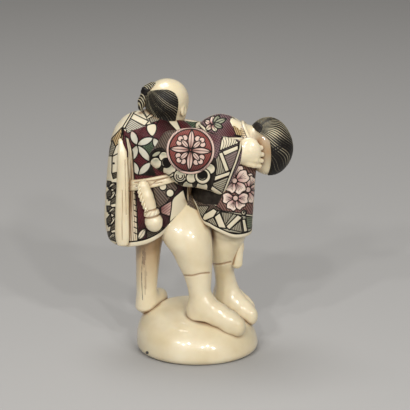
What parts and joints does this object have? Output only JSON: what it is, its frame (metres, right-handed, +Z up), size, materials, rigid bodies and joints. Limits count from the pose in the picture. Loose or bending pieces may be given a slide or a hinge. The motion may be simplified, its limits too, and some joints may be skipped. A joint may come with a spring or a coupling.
{
  "type": "okimono carving",
  "caption": "Small carved ornament of two robed men leaning together on a smooth domed mound.",
  "frame": {"origin": "centre of the mound's flat underside", "axes": "+Z up, +Y away from the side that is looked at, +X to that viewer's right"},
  "size_m": [0.0372, 0.0226, 0.0565],
  "materials": {
    "polished_ivory": "polished ivory-coloured carving material, glossy",
    "engraved_dyed_ivory": "engraved and dyed, polished",
    "inked_hair": "engraved and inked black, satin"
  },
  "bodies": {
    "root": {"mound": "polished_ivory", "standing_front_leg": "polished_ivory", "standing_rear_leg": "polished_ivory", "bowed_near_leg": "polished_ivory", "bowed_far_leg": "polished_ivory", "standing_robe": "engraved_dyed_ivory", "standing_hanging_sleeve": "engraved_dyed_ivory", "standing_sleeve_lining": "polished_ivory", "standing_arm_sleeve": "engraved_dyed_ivory", "standing_far_sleeve": "engraved_dyed_ivory", "arm_medallion": "engraved_dyed_ivory", "standing_sash": "polished_ivory", "hanging_case": "polished_ivory", "case_ring": "polished_ivory", "case_cord": "polished_ivory", "standing_near_hand": "polished_ivory", "standing_far_hand": "polished_ivory", "standing_head": "polished_ivory", "standing_hair": "inked_hair", "standing_topknot": "inked_hair", "bowed_robe": "engraved_dyed_ivory", "bowed_collar": "polished_ivory", "bowed_robe_end": "polished_ivory", "bowed_head": "polished_ivory", "bowed_hair": "inked_hair", "foot_pegs": "polished_ivory", "neck_pegs": "polished_ivory"}
  },
  "joints": []
}
